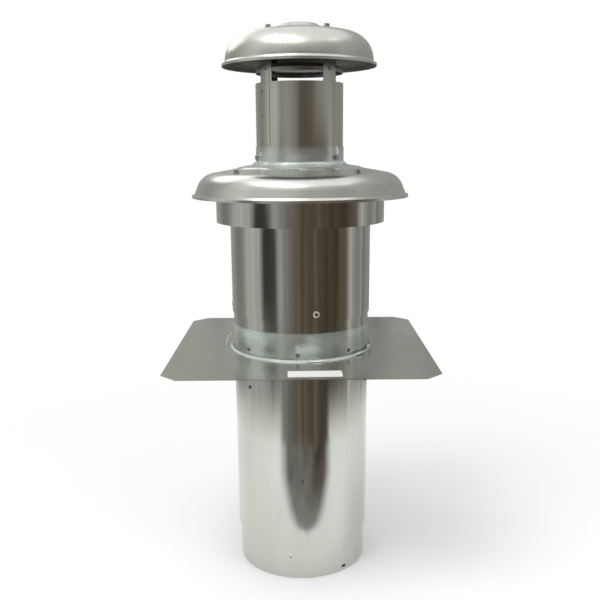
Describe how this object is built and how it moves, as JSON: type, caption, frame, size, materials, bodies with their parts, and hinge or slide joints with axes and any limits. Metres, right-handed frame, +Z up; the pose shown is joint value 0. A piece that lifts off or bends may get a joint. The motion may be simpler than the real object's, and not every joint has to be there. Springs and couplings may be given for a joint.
{
  "type": "flue roof jack",
  "caption": "Concentric flue and air-intake terminal on a square roof flashing, with two spun caps, a wind skirt and telescoping lower pipes.",
  "frame": {"origin": "centre of the underside of the flashing plate, on the pipe axis", "axes": "+Z up along the pipes towards the top cap, -Y towards the side with the visible casing rivet"},
  "size_m": [0.381, 0.381, 0.815],
  "materials": {
    "sheet": "bright galvanised sheet, smooth, faintly streaked",
    "plate": "galvanised sheet, duller",
    "spun_metal": "satin, spun",
    "strap": "galvanised strap",
    "fastener": "zinc plated",
    "sealant": "clear silicone bead, blue-grey"
  },
  "bodies": {
    "roof_jack": {"air_cap": "spun_metal", "air_cap_screws": "fastener", "baffle_rivets": "fastener", "bracket_rivets": "fastener", "cap_baffle": "sheet", "casing_rivets": "fastener", "collar_rivets": "fastener", "flashing_collar": "sheet", "flashing_plate": "plate", "flashing_sealant": "sealant", "flue_outlet_pipe": "sheet", "inner_flue_pipe": "sheet", "lower_casing": "sheet", "lower_spacer_1": "strap", "lower_spacer_2": "strap", "lower_spacer_3": "strap", "neck_collar": "spun_metal", "neck_screws": "fastener", "neck_sealant": "sealant", "skirt_bracket_1": "strap", "skirt_bracket_2": "strap", "skirt_bracket_3": "strap", "skirt_bracket_4": "strap", "skirt_rivets": "fastener", "spacer_rivets": "fastener", "top_cap": "spun_metal", "top_cap_screws": "fastener", "upper_casing": "sheet", "upper_spacer_1": "strap", "upper_spacer_2": "strap", "upper_spacer_3": "strap", "upper_spacer_4": "strap", "wind_skirt": "sheet"},
    "slip_casing": {"slip_casing": "sheet"},
    "slip_flue": {"slip_flue_pipe": "sheet"}
  },
  "joints": [
    {"name": "slip_casing_slide", "type": "slide", "parent": "roof_jack", "child": "slip_casing", "axis": [0, 0, -1], "range_m": [0, 0.2]},
    {"name": "slip_flue_slide", "type": "slide", "parent": "roof_jack", "child": "slip_flue", "axis": [0, 0, -1], "range_m": [0, 0.2]}
  ]
}
